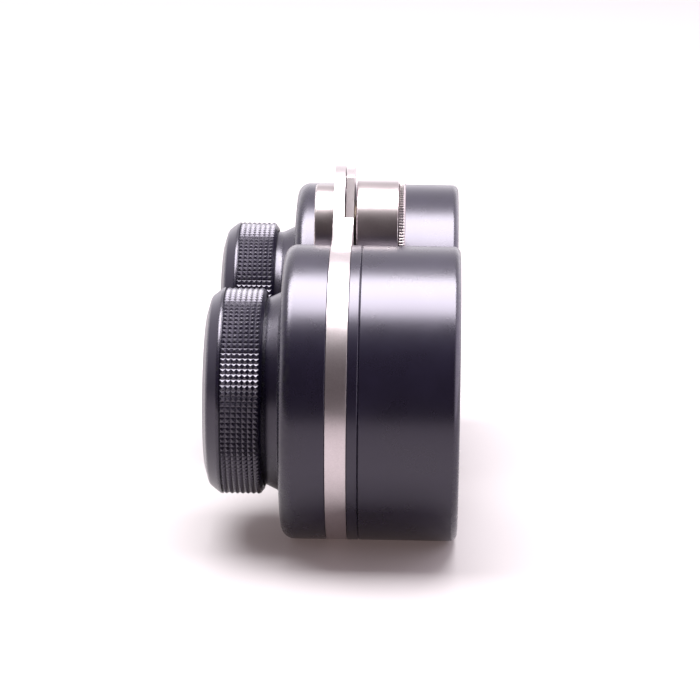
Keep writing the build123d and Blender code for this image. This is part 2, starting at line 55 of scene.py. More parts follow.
# Fineness of the meshes
ROUND_STEPS = 7
LATHE_SEGMENTS = 288
LENS_SEGMENTS = 144
LENS_STEPS = 20
CUTTER_SEGMENTS = 240
COIN_SEGMENTS_PER_TOOTH = 6

# Sizes that the boxes don't give, as in the CAD source
FIT_GAP = 0.05
ARM_RING_WALL = 5.0
SPIGOT_WALL = 2.0
TUBE_EDGE_ROUND = 1.3
SEAM_CHAMFER = 0.2
RECESS_WALL = 3.0
RECESS_DEPTH = 3.4
RECESS_CHAMFER = 0.8
SEAT_DEPTH = 13.0
SEAT_STEP = 2.0
SEAT_THICK = 1.0
HOUSING_LEN = 8.37
HOUSING_EDGE_ROUND = 2.4
HOUSING_FLOOR = 1.9
BAFFLE_SEAT_STEP = 1.0
BAFFLE_SEAT_DEPTH = 1.23
NECK_R = 17.15
NECK_WALL = 1.55
NECK_FLARE_RISE = 1.4
NECK_FLARE_LEN = 2.95
GRIP_LEN = 6.9
GRIP_WEB = 1.55
GRIP_SKIRT_BORE_R = 17.6
KNURL_ROWS = 7
OBJECTIVE_R = 21.0
OCULAR_R = 12.2
EYE_BORE_R = 12.6
NOTCH_HALF_WIDTH = 0.8
NOTCH_DEPTH = 0.7
WEB_ROUND = 17.0
EAR_A_THICK = 1.98
EAR_GAP = 0.23
EAR_RELIEF_GAP = 1.3
EAR_FLAT = 10.14
EAR_FLAT_LEAN_DEG = 6.0
AXLE_HOLE_R = 4.05
SLEEVE_BORE_R = 7.3
SLEEVE_FLOOR = 1.4

# Sizes that the looks have of their own; EDGE is the rounding of an unseen edge
EDGE = 0.12
LOOKS_SEAM_CHAMFER = 0.18
GRIP_BORE_R = 15.62
RIDGE_PITCH = 0.45
RIDGE_VALLEY = 0.35
RIDGE_TIP = 0.08
RIDGE_HALF_LEN = 0.1
RIDGES_END = 0.6
KNURL_TEETH = 120
KNURL_DEPTH = 0.27
KNURL_FLAT = 0.05
KNURL_UNDER = 0.12
COIN_TEETH = 110
COIN_DEPTH = 0.22
COIN_STEEPNESS = 2.6
ARM_BEVEL = 0.22

# How far cutters reach past what they cut, and how far the ear's flat reaches out
PAST = 1.0
FAR = 30.0


# ---------------------------------------------------------------- places from the CAD boxes
def low(node):
    """Lowest corner of a CAD node in mm."""
    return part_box(node)[0] / MM


def high(node):
    """Highest corner of a CAD node in mm."""
    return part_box(node)[1] / MM


def centre(node):
    """Centre of a CAD node's box in mm."""
    return (low(node) + high(node)) / 2


def radius(node):
    """Outer radius of a round CAD node in mm."""
    return (high(node).y - low(node).y) / 2


# ---------------------------------------------------------------- materials
def node(tree, kind, **inputs):
    """Add a shader node and set its inputs; a value may be a socket to link."""
    made = tree.nodes.new(kind)
    for key, value in inputs.items():
        socket = made.inputs[key]
        if isinstance(value, bpy.types.NodeSocket):
            tree.links.new(value, socket)
        else:
            socket.default_value = value
    return made


def math_node(tree, operation, first, second=0.0):
    """One Math node; returns its output socket."""
    made = tree.nodes.new("ShaderNodeMath")
    made.operation = operation
    for slot, value in enumerate((first, second)):
        if isinstance(value, bpy.types.NodeSocket):
            tree.links.new(value, made.inputs[slot])
        else:
            made.inputs[slot].default_value = value
    return made.outputs[0]


def ramp(tree, value, low_at, high_at, low_to=0.0, high_to=1.0):
    """Map Range node from one span to another, clamped."""
    made = node(tree, "ShaderNodeMapRange", Value=value)
    made.inputs["From Min"].default_value = low_at
    made.inputs["From Max"].default_value = high_at
    made.inputs["To Min"].default_value = low_to
    made.inputs["To Max"].default_value = high_to
    return made.outputs[0]


def mix_colour(tree, factor, first, second):
    """Mix two colours; each may be a tuple or a socket."""
    made = tree.nodes.new("ShaderNodeMix")
    made.data_type = "RGBA"
    tree.links.new(factor, made.inputs[0])
    for slot, value in ((6, first), (7, second)):
        if isinstance(value, bpy.types.NodeSocket):
            tree.links.new(value, made.inputs[slot])
        else:
            made.inputs[slot].default_value = (*value, 1.0)
    return made.outputs[2]


def node_attribute(tree, name):
    """Socket of a named vertex value."""
    made = tree.nodes.new("ShaderNodeAttribute")
    made.attribute_name = name
    return made.outputs["Fac"]


def metal_finish(name, colour, metallic, roughness, *, ior=1.5, specular_tint=(1.0, 1.0, 1.0),
                 grain_mm=0.22, grain_um=1.6, turn_um=0.0, turn_mm=0.12, mottle=0.12, wear=None,
                 dust=0.0, rough_swing=0.05):
    """Blasted or turned metal: grain, turning marks, mottling, edge wear and stray dust.

    grain_mm and turn_mm are the spacings of the grain and of the turning marks, grain_um and
    turn_um their heights. wear is the colour of rubbed edges, and dust the share of cells that
    hold a speck.
    """
    material = bpy.data.materials.new(name)
    material.use_nodes = True
    tree = material.node_tree
    tree.nodes.clear()
    where = tree.nodes.new("ShaderNodeTexCoord").outputs["Object"]
    shader = tree.nodes.new("ShaderNodeBsdfPrincipled")
    out = tree.nodes.new("ShaderNodeOutputMaterial")
    tree.links.new(shader.outputs[0], out.inputs[0])
    shader.inputs["Metallic"].default_value = metallic
    shader.inputs["IOR"].default_value = ior
    shader.inputs["Specular Tint"].default_value = (*specular_tint, 1.0)

    grain = node(tree, "ShaderNodeTexNoise", Vector=where, Scale=1 / (grain_mm * MM), Detail=3.0,
                 Roughness=0.6)
    patches = node(tree, "ShaderNodeTexNoise", Vector=where, Scale=140.0, Detail=4.0, Roughness=0.55)
    broad_grain = node(tree, "ShaderNodeTexNoise", Vector=where, Scale=1 / (3 * grain_mm * MM),
                       Detail=2.0)

    shade = ramp(tree, patches.outputs[0], 0.3, 0.7, 1 - mottle, 1 + mottle)
    shade = math_node(tree, "MULTIPLY", shade, ramp(tree, grain.outputs[0], 0.3, 0.7, 0.94, 1.06))
    tinted = tree.nodes.new("ShaderNodeMix")
    tinted.data_type = "RGBA"
    tinted.blend_type = "MULTIPLY"
    tinted.inputs[0].default_value = 1.0
    tinted.inputs[6].default_value = (*colour, 1.0)
    grey = node(tree, "ShaderNodeCombineColor", Red=shade, Green=shade, Blue=shade).outputs[0]
    tree.links.new(grey, tinted.inputs[7])
    surface = tinted.outputs[2]
    rough = ramp(tree, patches.outputs[0], 0.3, 0.7,
                 roughness - rough_swing, roughness + rough_swing)

    if wear is not None:
        edge = node_attribute(tree, "wear")
        broken = ramp(tree, broad_grain.outputs[0], 0.42, 0.66)
        rubbed = math_node(tree, "MULTIPLY", edge, broken)
        surface = mix_colour(tree, rubbed, surface, wear)
        rough = math_node(tree, "SUBTRACT", rough, math_node(tree, "MULTIPLY", rubbed, 0.08))

    if dust > 0:
        cells = node(tree, "ShaderNodeTexVoronoi", Vector=where, Scale=165.0)
        picked = tree.nodes.new("ShaderNodeSeparateColor")
        tree.links.new(cells.outputs["Color"], picked.inputs[0])
        size = ramp(tree, picked.outputs[0], 1 - dust, 1.0, 0.0, 0.017)
        speck = math_node(tree, "LESS_THAN", cells.outputs["Distance"], size)
        surface = mix_colour(tree, speck, surface, (0.55, 0.54, 0.56))
        rough = math_node(tree, "ADD", rough, math_node(tree, "MULTIPLY", speck, 0.3))

    tree.links.new(surface, shader.inputs["Base Color"])
    tree.links.new(rough, shader.inputs["Roughness"])
    bump = node(tree, "ShaderNodeBump", Height=grain.outputs[0], Strength=1.0, Distance=grain_um * UM)
    if turn_um > 0:
        along = math_node(tree, "MULTIPLY", node_attribute(tree, "turn"), 1 / (turn_mm * MM))
        spread = node(tree, "ShaderNodeCombineXYZ", X=along).outputs[0]
        lines = node(tree, "ShaderNodeTexNoise", Vector=spread, Scale=1.0, Detail=3.0)
        turned = node(tree, "ShaderNodeBump", Height=lines.outputs[0], Strength=1.0,
                      Distance=turn_um * UM)
        tree.links.new(turned.outputs[0], bump.inputs["Normal"])
    tree.links.new(bump.outputs[0], shader.inputs["Normal"])
    return material


def lens_glass(name, tint, film_nm):
    """Coated optical glass with faint smears and a few specks."""
    material = bpy.data.materials.new(name)
    material.use_nodes = True
    tree = material.node_tree
    shader = tree.nodes["Principled BSDF"]
    where = tree.nodes.new("ShaderNodeTexCoord").outputs["Object"]
    smears = node(tree, "ShaderNodeTexNoise", Vector=where, Scale=90.0, Detail=5.0, Roughness=0.6)
    cells = node(tree, "ShaderNodeTexVoronoi", Vector=where, Scale=260.0)
    speck = math_node(tree, "LESS_THAN", cells.outputs["Distance"], 0.012)
    rough = ramp(tree, smears.outputs[0], 0.5, 0.8, 0.0, 0.006)
    rough = math_node(tree, "ADD", rough, math_node(tree, "MULTIPLY", speck, 0.3))
    tree.links.new(rough, shader.inputs["Roughness"])
    smeared = mix_colour(tree, ramp(tree, smears.outputs[0], 0.4, 0.7), tint, (0.96, 0.97, 0.96))
    tree.links.new(smeared, shader.inputs["Base Color"])
    shader.inputs["Transmission Weight"].default_value = 1.0
    shader.inputs["IOR"].default_value = 1.6
    shader.inputs["Thin Film Thickness"].default_value = film_nm
    shader.inputs["Thin Film IOR"].default_value = 1.38
    return material


BLACK = (0.0037, 0.0026, 0.0095)
COOL = (0.92, 0.86, 1.0)
RUBBED_NICKEL = (0.8, 0.77, 0.75)
MATERIALS = {
    "black": metal_finish(
        "black_blasted", BLACK, 0.0, 0.28, ior=1.62, specular_tint=COOL, grain_um=4.0, grain_mm=0.3,
        wear=(0.012, 0.012, 0.014), dust=0.03, mottle=0.2, rough_swing=0.015),
    "black_turned": metal_finish(
        "black_turned", BLACK, 0.0, 0.27, ior=1.62, specular_tint=COOL, grain_um=0.8, turn_um=0.7,
        wear=(0.02, 0.02, 0.022)),
    "black_knurl": metal_finish(
        "black_knurl", BLACK, 0.0, 0.24, ior=1.64, specular_tint=COOL, grain_um=0.4,
        wear=(0.03, 0.03, 0.034), dust=0.02),
    "black_matt": metal_finish(
        "black_matt", (0.006, 0.006, 0.007), 0.0, 0.62, ior=1.45, turn_um=3.0, turn_mm=0.3),
    "nickel_blasted": metal_finish(
        "nickel_blasted", (0.53, 0.475, 0.485), 1.0, 0.305, grain_um=7.0, grain_mm=0.3,
        wear=RUBBED_NICKEL, mottle=0.05, rough_swing=0.015),
    "nickel_turned": metal_finish(
        "nickel_turned", (0.365, 0.321, 0.326), 1.0, 0.3, grain_um=0.5, turn_um=0.8,
        wear=RUBBED_NICKEL, mottle=0.025, rough_swing=0.02),
    "steel": metal_finish("plain_steel", (0.5, 0.5, 0.52), 1.0, 0.3, grain_um=1.0, turn_um=1.0),
    "bronze": metal_finish("oiled_bronze", (0.09, 0.07, 0.055), 1.0, 0.4, grain_um=1.0, turn_um=1.0),
    "objective_glass": lens_glass("objective_glass", (0.93, 0.96, 0.94), 128.0),
    "ocular_glass": lens_glass("ocular_glass", (0.94, 0.96, 0.97), 118.0),
}


# ---------------------------------------------------------------- mesh helpers
def arc_points(before, at, after, rounding):
    """Points of the arc that rounds a corner, each with wear 1 in the middle of the arc."""
    p = Vector(at)
    a = (Vector(before) - p).normalized()
    b = (Vector(after) - p).normalized()
    half = a.angle(b) / 2
    middle = p + (a + b).normalized() * (rounding / math.sin(half))
    first = p + a * (rounding / math.tan(half)) - middle
    turn = first.angle_signed(p + b * (rounding / math.tan(half)) - middle)
    points = []
    for step in range(ROUND_STEPS + 1):
        share = step / ROUND_STEPS
        angle = -turn * share
        spun = Vector((first.x * math.cos(angle) - first.y * math.sin(angle),
                       first.x * math.sin(angle) + first.y * math.cos(angle)))
        points.append((*(middle + spun), math.sin(math.pi * share)))
    return points


def rounded(points):
    """Turn the corners (x, r) or (x, r, rounding) of a closed profile into points (x, r, wear)."""
    made = []
    for index, point in enumerate(points):
        if len(point) == 3:
            following = points[(index + 1) % len(points)]
            made += arc_points(points[index - 1][:2], point[:2], following[:2], point[2])
        else:
            made.append((*point, 0.0))
    return made


def settle(name, mesh, material, body, stands_for):
    """Make the object, give it its finish and body, and hide the CAD nodes it stands for."""
    piece = bpy.data.objects.new(name, mesh)
    bpy.context.scene.collection.objects.link(piece)
    mesh.materials.append(MATERIALS[material])
    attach(piece, body)
    if stands_for:
        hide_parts(*stands_for)
    return piece


def weigh_normals(piece):
    """Keep large faces flat-shaded beside their small rounded edges."""
    weighted = piece.modifiers.new("face_weighted", "WEIGHTED_NORMAL")
    weighted.mode = "FACE_AREA"
    weighted.weight = 50
    weighted.keep_sharp = True


def lathe(name, points, axis, material, body, stands_for=(), flutes=None,
          segments=LATHE_SEGMENTS, sharp_deg=28):
    """Revolve a closed profile about a line along X through axis (y, z).

    flutes is (count, depth, from_x, to_x, above_r), the teeth cut into that band.
    """
    profile = rounded(points)
    bm = bmesh.new()
    wear_layer = bm.verts.layers.float.new("wear")
    turn_layer = bm.verts.layers.float.new("turn")
    rings = []
    length = 0.0
    for index, (x, r, wear) in enumerate(profile):
        if index:
            length += math.dist(profile[index - 1][:2], (x, r))
        ring = []
        for step in range(1 if r < 1e-6 else segments):
            angle = 2 * math.pi * step / segments
            sunk = flute_depth(flutes, x, r, angle) if flutes else 0.0
            vert = bm.verts.new((x * MM, (axis[0] + (r - sunk) * math.cos(angle)) * MM,
                                 (axis[1] + (r - sunk) * math.sin(angle)) * MM))
            vert[wear_layer] = wear
            vert[turn_layer] = length * MM
            ring.append(vert)
        rings.append(ring)
    for first, second in zip(rings, rings[1:] + rings[:1]):
        if len(first) == 1 and len(second) == 1:
            continue
        for step in range(segments):
            following = (step + 1) % segments
            if len(first) == 1:
                bm.faces.new((first[0], second[following], second[step]))
            elif len(second) == 1:
                bm.faces.new((first[step], first[following], second[0]))
            else:
                bm.faces.new((first[step], first[following], second[following], second[step]))
    finish_mesh(bm, sharp_deg)
    mesh = bpy.data.meshes.new(name)
    bm.to_mesh(mesh)
    bm.free()
    piece = settle(name, mesh, material, body, stands_for)
    weigh_normals(piece)
    return piece


def flute_depth(flutes, x, r, angle):
    """How deep a point of a fluted band is cut."""
    count, depth, from_x, to_x, above_r = flutes
    if not (from_x - 1e-6 <= x <= to_x + 1e-6 and r > above_r):
        return 0.0
    phase = (angle * count / (2 * math.pi)) % 1.0
    return depth * min(1.0, COIN_STEEPNESS * abs(phase - 0.5))


def finish_mesh(bm, sharp_deg):
    """Point the faces outwards, shade smooth and mark the sharp edges."""
    bmesh.ops.recalc_face_normals(bm, faces=bm.faces)
    limit = math.radians(sharp_deg)
    for face in bm.faces:
        face.smooth = True
    for edge in bm.edges:
        if len(edge.link_faces) == 2 and edge.calc_face_angle() > limit:
            edge.smooth = False


def barrel_axis(side):
    """(y, z) of a barrel's axis in mm."""
    middle = centre(side + "_front_tube")
    return middle.y, middle.z


# ---------------------------------------------------------------- barrel pieces
def front_tube(side):
    """Front tube with its rounded rim, recess, anti-reflection ridges and lens seat."""
    name = side + "_front_tube"
    back, front, outer = low(name).x, high(name).x, radius(name)
    seat_r = radius(side + "_objective_front_lens")
    retainer_front = high(side + "_objective_retainer").x
    recess_r = outer - RECESS_WALL
    station = front - RECESS_DEPTH
    collar_r = radius(side + "_rear_housing") - ARM_RING_WALL
    seat_x, step_x = front - SEAT_DEPTH, front - (SEAT_DEPTH + SEAT_THICK)
    points = [
        (back, collar_r + FIT_GAP, EDGE),
        (back, outer - SEAM_CHAMFER, 0.05),
        (back + SEAM_CHAMFER, outer, 0.08),
        (front, outer, TUBE_EDGE_ROUND),
        (front, recess_r + RECESS_CHAMFER, 0.15),
        (front - RECESS_CHAMFER, recess_r, 0.1),
        (station, recess_r),
        (station, seat_r + RIDGE_VALLEY, EDGE),
    ]
    while station - retainer_front > RIDGES_END:
        station -= RIDGE_PITCH
        points += [(station + RIDGE_HALF_LEN, seat_r + RIDGE_VALLEY),
                   (station - RIDGE_HALF_LEN, seat_r + RIDGE_TIP)]
    points += [
        (retainer_front, seat_r + FIT_GAP),
        (seat_x, seat_r + FIT_GAP),
        (seat_x, seat_r - SEAT_STEP),
        (step_x, seat_r - SEAT_STEP),
        (step_x, collar_r + FIT_GAP),
    ]
    lathe(name + "_shell", points, barrel_axis(side), "black", side + "_barrel", [name])


def rear_housing(side):
    """Rear housing: shoulder, flared neck and the bored inside."""
    name = side + "_rear_housing"
    outer = radius(name)
    back, front = low(name).x, high(name).x
    joint = low(side + "_arm").x
    shoulder = joint - HOUSING_LEN
    spigot_r = outer - ARM_RING_WALL
    bore_r = spigot_r - SPIGOT_WALL
    lathe(name + "_shell", [
        (front, bore_r, EDGE),
        (front, spigot_r, EDGE),
        (joint, spigot_r),
        (joint, outer - LOOKS_SEAM_CHAMFER, 0.05),
        (joint - LOOKS_SEAM_CHAMFER, outer, 0.06),
        (shoulder, outer, HOUSING_EDGE_ROUND),
        (shoulder, NECK_R + NECK_FLARE_RISE, 1.1),
        (shoulder - NECK_FLARE_LEN, NECK_R, 1.6),
        (back, NECK_R, EDGE),
        (back, NECK_R - NECK_WALL, EDGE),
        (shoulder + HOUSING_FLOOR, NECK_R - NECK_WALL),
        (shoulder + HOUSING_FLOOR, bore_r - BAFFLE_SEAT_STEP),
        (joint + BAFFLE_SEAT_DEPTH, bore_r - BAFFLE_SEAT_STEP),
        (joint + BAFFLE_SEAT_DEPTH, bore_r),
    ], barrel_axis(side), "black", side + "_barrel", [name])


def lock_ring(side):
    """Narrow black ring between the arm and the front tube."""
    name = side + "_lock_ring"
    back, front, outer = low(name).x, high(name).x, radius(name)
    bore_r = outer - (ARM_RING_WALL - FIT_GAP)
    lathe(name + "_shell", [
        (back, bore_r),
        (back, outer - LOOKS_SEAM_CHAMFER, 0.05),
        (back + LOOKS_SEAM_CHAMFER, outer, 0.06),
        (front - SEAM_CHAMFER, outer, 0.08),
        (front, outer - SEAM_CHAMFER, 0.05),
        (front, bore_r),
    ], barrel_axis(side), "black", side + "_barrel", [name])


def lens(side, part, back_bulge, front_bulge, clear_r, glass, body):
    """Lens with true spherical faces and a flat land round each; a dished face bulges less than 0."""
    name = side + "_" + part
    edge_r = radius(name)
    back = low(name).x + max(back_bulge, 0)
    front = high(name).x - max(front_bulge, 0)

    def face(land_x, bulge, direction):
        if bulge == 0:
            return [(land_x, 0.0), (land_x, clear_r)]
        sphere = (clear_r ** 2 + bulge ** 2) / (2 * abs(bulge))
        points = []
        for step in range(LENS_STEPS + 1):
            r = clear_r * step / LENS_STEPS
            rise = math.sqrt(sphere ** 2 - r ** 2) - (sphere - abs(bulge))
            points.append((land_x + direction * math.copysign(rise, bulge), r))
        return points

    points = face(back, back_bulge, -1) + [(back, edge_r), (front, edge_r)]
    points += face(front, front_bulge, 1)[::-1]
    lathe(name + "_glass", points, barrel_axis(side), glass, body, [name],
          segments=LENS_SEGMENTS, sharp_deg=20)


def retaining_ring(side, part, inner_r, face_front, material, body):
    """Screw-in ring with a chamfered mouth and two spanner notches."""
    name = side + "_" + part
    back, front, outer = low(name).x, high(name).x, radius(name)
    if face_front:
        points = [(back, inner_r), (back, outer), (front, outer, EDGE),
                  (front, inner_r + 0.5, 0.08), (front - 0.5, inner_r, 0.08)]
    else:
        points = [(back, inner_r + 0.4, 0.08), (back, outer, EDGE), (front, outer),
                  (front, inner_r), (back + 0.4, inner_r, 0.08)]
    piece = lathe(name + "_ring", points, barrel_axis(side), material, body, [name])
    notch_x = front if face_front else back
    y, z = barrel_axis(side)
    reach, half = outer + PAST, NOTCH_HALF_WIDTH
    slot = [(y - reach, z - half), (y - reach, z + half), (y + reach, z + half), (y + reach, z - half)]
    cut(piece, prism("notch_cutter", slot, notch_x - NOTCH_DEPTH, notch_x + NOTCH_DEPTH))


def prism(name, outline, back_x, front_x):
    """Plain closed prism along X from a (y, z) outline in mm."""
    bm = bmesh.new()
    back = [bm.verts.new((back_x * MM, y * MM, z * MM)) for y, z in outline]
    front = [bm.verts.new((front_x * MM, y * MM, z * MM)) for y, z in outline]
    bm.faces.new(back)
    bm.faces.new(front[::-1])
    count = len(outline)
    for step in range(count):
        following = (step + 1) % count
        bm.faces.new((back[step], front[step], front[following], back[following]))
    bmesh.ops.recalc_face_normals(bm, faces=bm.faces)
    mesh = bpy.data.meshes.new(name)
    bm.to_mesh(mesh)
    bm.free()
    made = bpy.data.objects.new(name, mesh)
    bpy.context.scene.collection.objects.link(made)
    return made


def cut(piece, *cutters):
    """Subtract cutters from a piece, keep the result in its mesh and remove the cutters."""
    for number, cutter in enumerate(cutters):
        boolean = piece.modifiers.new("cut_%d" % number, "BOOLEAN")
        boolean.operation = "DIFFERENCE"
        boolean.solver = "EXACT"
        boolean.object = cutter
    graph = bpy.context.evaluated_depsgraph_get()
    mesh = bpy.data.meshes.new_from_object(piece.evaluated_get(graph))
    piece.modifiers.clear()
    piece.data = mesh
    for cutter in cutters:
        bpy.data.objects.remove(cutter)


def circle(y, z, r, count=CUTTER_SEGMENTS):
    """Points of a circle in the (y, z) plane."""
    return arc(y, z, r, 0, 2 * math.pi, count)[:-1]


def arc(across_at, up_at, r, start, end, count):
    """Points of an arc in a plane, both ends included."""
    angles = [start + (end - start) * k / count for k in range(count + 1)]
    return [(across_at + r * math.cos(angle), up_at + r * math.sin(angle)) for angle in angles]


def radius_of_ear(side):
    """Radius of an arm's ear in mm."""
    return high(side + "_arm").z - centre("hinge_axle").z


def arm(side):
    """Nickel arm: ring round the barrel, web and half-lapped ear with softened edges.

    The outline is worked out along and across the line from the barrel to the hinge.
    """
    name = side + "_arm"
    sign = SIDES[side]
    y0, z0 = barrel_axis(side)
    hinge_y, hinge_z = centre("hinge_axle").y, centre("hinge_axle").z
    reach = math.dist((y0, z0), (hinge_y, hinge_z))
    dip = math.atan2(hinge_z - z0, abs(hinge_y - y0))
    ring_r = radius(side + "_front_tube")
    ear_r = radius_of_ear(side)

    # The web's arc touches the ring and the ear from above; below, ring and ear just cross
    far, near = ring_r + WEB_ROUND, ear_r + WEB_ROUND
    along = (far ** 2 - near ** 2 + reach ** 2) / (2 * reach)
    across = math.sqrt(far ** 2 - along ** 2)
    crossing = math.acos((ring_r ** 2 + reach ** 2 - ear_r ** 2) / (2 * ring_r * reach))
    ring_start = math.atan2(across, along)
    ear_start = math.atan2(-ring_r * math.sin(crossing), ring_r * math.cos(crossing) - reach)
    ear_end = math.atan2(across, along - reach)
    web_start, web_end = math.atan2(-across, reach - along), math.atan2(-across, -along)
    outline = arc(0, 0, ring_r, ring_start, 2 * math.pi - crossing, 260)
    outline += arc(reach, 0, ear_r, ear_start, ear_end, 110)[1:]
    outline += arc(along, across, WEB_ROUND, web_start, web_end, 40)[1:-1]
    placed = [(y0 - sign * (u * math.cos(dip) - v * math.sin(dip)),
               z0 + u * math.sin(dip) + v * math.cos(dip)) for u, v in outline]

    back, front = low(name).x, high(name).x
    through = (back - PAST, front + PAST)
    ear_front, ear_back = back + EAR_A_THICK, back + (EAR_A_THICK + EAR_GAP)
    relief = (ear_front, front + PAST) if side == "right" else (back - PAST, ear_back)
    relief_r = radius_of_ear("right") + EAR_RELIEF_GAP
    lean = dip - math.radians(EAR_FLAT_LEAN_DEG)
    away = Vector((-sign * math.cos(lean), math.sin(lean)))
    side_on = Vector((-away.y, away.x)) * FAR
    near_end, far_end = away * EAR_FLAT, away * FAR
    beyond = [near_end - side_on, near_end + side_on, far_end + side_on, far_end - side_on]
    piece = prism(name + "_plate", placed, back, front)
    cut(piece,
        prism("relief", circle(hinge_y, hinge_z, relief_r), *relief),
        prism("flat", [(hinge_y + p.x, hinge_z + p.y) for p in beyond], *through),
        prism("bore", circle(y0, z0, ring_r - (ARM_RING_WALL - FIT_GAP)), *through),
        prism("axle_hole", circle(hinge_y, hinge_z, AXLE_HOLE_R, 96), *through))
    bevel = piece.modifiers.new("soft_edges", "BEVEL")
    bevel.width = ARM_BEVEL * MM
    bevel.segments = 3
    bevel.limit_method = "ANGLE"
    bevel.angle_limit = math.radians(35)
    graph = bpy.context.evaluated_depsgraph_get()
    mesh = bpy.data.meshes.new_from_object(piece.evaluated_get(graph))
    bpy.data.objects.remove(piece)
    mesh.name = name + "_plate"
    bm = bmesh.new()
    bm.from_mesh(mesh)
    finish_mesh(bm, 50)
    bm.to_mesh(mesh)
    bm.free()
    made = settle(name + "_plate", mesh, "nickel_blasted", side + "_barrel", [name])
    weigh_normals(made)


def focus_grip(side):
    """Grip: a plain core with a true square-pyramid knurl round it."""
    name = side + "_focus_grip"
    back, outer = low(name).x, radius(name)
    knurl_front = back + GRIP_LEN
    root_r = outer - KNURL_DEPTH
    axis = barrel_axis(side)
    body = side + "_grip"
    lathe(name + "_core", [
        (back, GRIP_BORE_R),
        (back, root_r - KNURL_UNDER),
        (knurl_front, root_r - KNURL_UNDER),
        (high(name).x, 18.0, 0.15),
        (high(name).x, GRIP_SKIRT_BORE_R, 0.1),
        (back + GRIP_WEB, GRIP_SKIRT_BORE_R),
        (back + GRIP_WEB, GRIP_BORE_R),
    ], axis, "black", body, [name])
    bm = bmesh.new()
    wear_layer = bm.verts.layers.float.new("wear")
    turn_layer = bm.verts.layers.float.new("turn")
    pitch = (knurl_front - back) / KNURL_ROWS

    def vertex(x, r, tooth, wear):
        angle = 2 * math.pi * tooth / KNURL_TEETH
        made = bm.verts.new((x * MM, (axis[0] + r * math.cos(angle)) * MM,
                             (axis[1] + r * math.sin(angle)) * MM))
        made[wear_layer] = wear
        made[turn_layer] = x * MM
        return made

    def circle_of_vertices(x, r):
        return [vertex(x, r, tooth, 0.0) for tooth in range(KNURL_TEETH)]

    grid = [circle_of_vertices(back + row * pitch, root_r) for row in range(KNURL_ROWS + 1)]
    for row in range(KNURL_ROWS):
        x = back + (row + 0.5) * pitch
        for tooth in range(KNURL_TEETH):
            following = (tooth + 1) % KNURL_TEETH
            base = [grid[row][tooth], grid[row][following],
                    grid[row + 1][following], grid[row + 1][tooth]]
            tip = [vertex(x + dx * KNURL_FLAT * pitch, outer - 0.02, tooth + 0.5 + da * KNURL_FLAT, 1.0)
                   for dx, da in ((-1, -1), (-1, 1), (1, 1), (1, -1))]
            bm.faces.new(tip)
            for corner in range(4):
                other = (corner + 1) % 4
                bm.faces.new((base[corner], base[other], tip[other], tip[corner]))
    inner = [circle_of_vertices(x, root_r - 0.1) for x in (back, knurl_front)]
    for tooth in range(KNURL_TEETH):
        following = (tooth + 1) % KNURL_TEETH
        bm.faces.new((grid[0][following], grid[0][tooth], inner[0][tooth], inner[0][following]))
        bm.faces.new((grid[-1][tooth], grid[-1][following], inner[1][following], inner[1][tooth]))
        bm.faces.new((inner[0][tooth], inner[1][tooth], inner[1][following], inner[0][following]))
    bmesh.ops.recalc_face_normals(bm, faces=bm.faces)
    mesh = bpy.data.meshes.new(name + "_knurl")
    bm.to_mesh(mesh)
    bm.free()
    settle(name + "_knurl", mesh, "black_knurl", body, [])


def eye_bezel(side):
    """Smooth bezel with its long rounded chamfer and dished mouth."""
    name = side + "_eye_bezel"
    back, front, outer = low(name).x, high(name).x, radius(name)
    lip_r = 16.9
    lathe(name + "_shell", [
        (front, lip_r),
        (front, outer - 0.45, 0.04),
        (front - 0.12, outer - 0.45, 0.04),
        (front - 0.18, outer - 0.02, 0.03),
        (front - 0.5, outer, 0.9),
        (front - 2.6, outer - 1.64, 1.5),
        (back, outer - 4.5, 0.9),
        (back, 13.9, 0.35),
        (back + 2.05, EYE_BORE_R, 0.1),
        (front - 0.75, EYE_BORE_R),
        (front - 0.75, lip_r),
    ], barrel_axis(side), "black", side + "_grip", [name])


# ---------------------------------------------------------------- hinge pieces
def hinge():
    """Turned hinge sleeve, rear cap and coin-edged end cap."""
    axis = (centre("hinge_axle").y, centre("hinge_axle").z)
    finish, body = "nickel_turned", "right_barrel"

    sleeve = "hinge_front_sleeve"
    back, front, outer = low(sleeve).x, high(sleeve).x, radius(sleeve)
    lathe(sleeve + "_shell", [
        (back, AXLE_HOLE_R),
        (back, outer, 0.35),
        (front, outer, 0.1),
        (front, SLEEVE_BORE_R),
        (back + SLEEVE_FLOOR, SLEEVE_BORE_R),
        (back + SLEEVE_FLOOR, AXLE_HOLE_R),
    ], axis, finish, body, [sleeve])

    cap = "hinge_rear_cap"
    back, front, outer = low(cap).x, high(cap).x, radius(cap)
    groove_x = back + 0.3
    pocket_x, pocket_r = front - 2.05, 6.55
    lathe(cap + "_shell", [
        (back, 0.0),
        (back, 5.2, 0.15),
        (groove_x, 5.5, 0.15),
        (groove_x, 6.1, 0.1),
        (back, 6.4, 0.15),
        (back, outer, 0.4),
        (front, outer, 0.12),
        (front, pocket_r),
        (pocket_x, pocket_r),
        (pocket_x, 0.0),
    ], axis, finish, body, [cap])

    end = "hinge_end_cap"
    back, front, outer = low(end).x, high(end).x, radius(end)
    edge_back = high(sleeve).x
    plug_r = SLEEVE_BORE_R - FIT_GAP
    lathe(end + "_shell", [
        (back, 0.0),
        (back, plug_r, EDGE),
        (edge_back, plug_r),
        (edge_back, outer - 0.45, 0.1),
        (edge_back + 0.22, outer - 0.03, 0.12),
        (front - 0.3, outer - 0.03, 0.15),
        (front, outer - 0.4, 0.15),
        (front, 7.4, 0.12),
        (front - 0.35, 7.05, 0.12),
        (front - 0.35, 0.0),
    ], axis, finish, body, [end],
        flutes=(COIN_TEETH, COIN_DEPTH, edge_back + 0.1, front - 0.1, outer - 0.36),
        segments=COIN_TEETH * COIN_SEGMENTS_PER_TOOTH, sharp_deg=34)


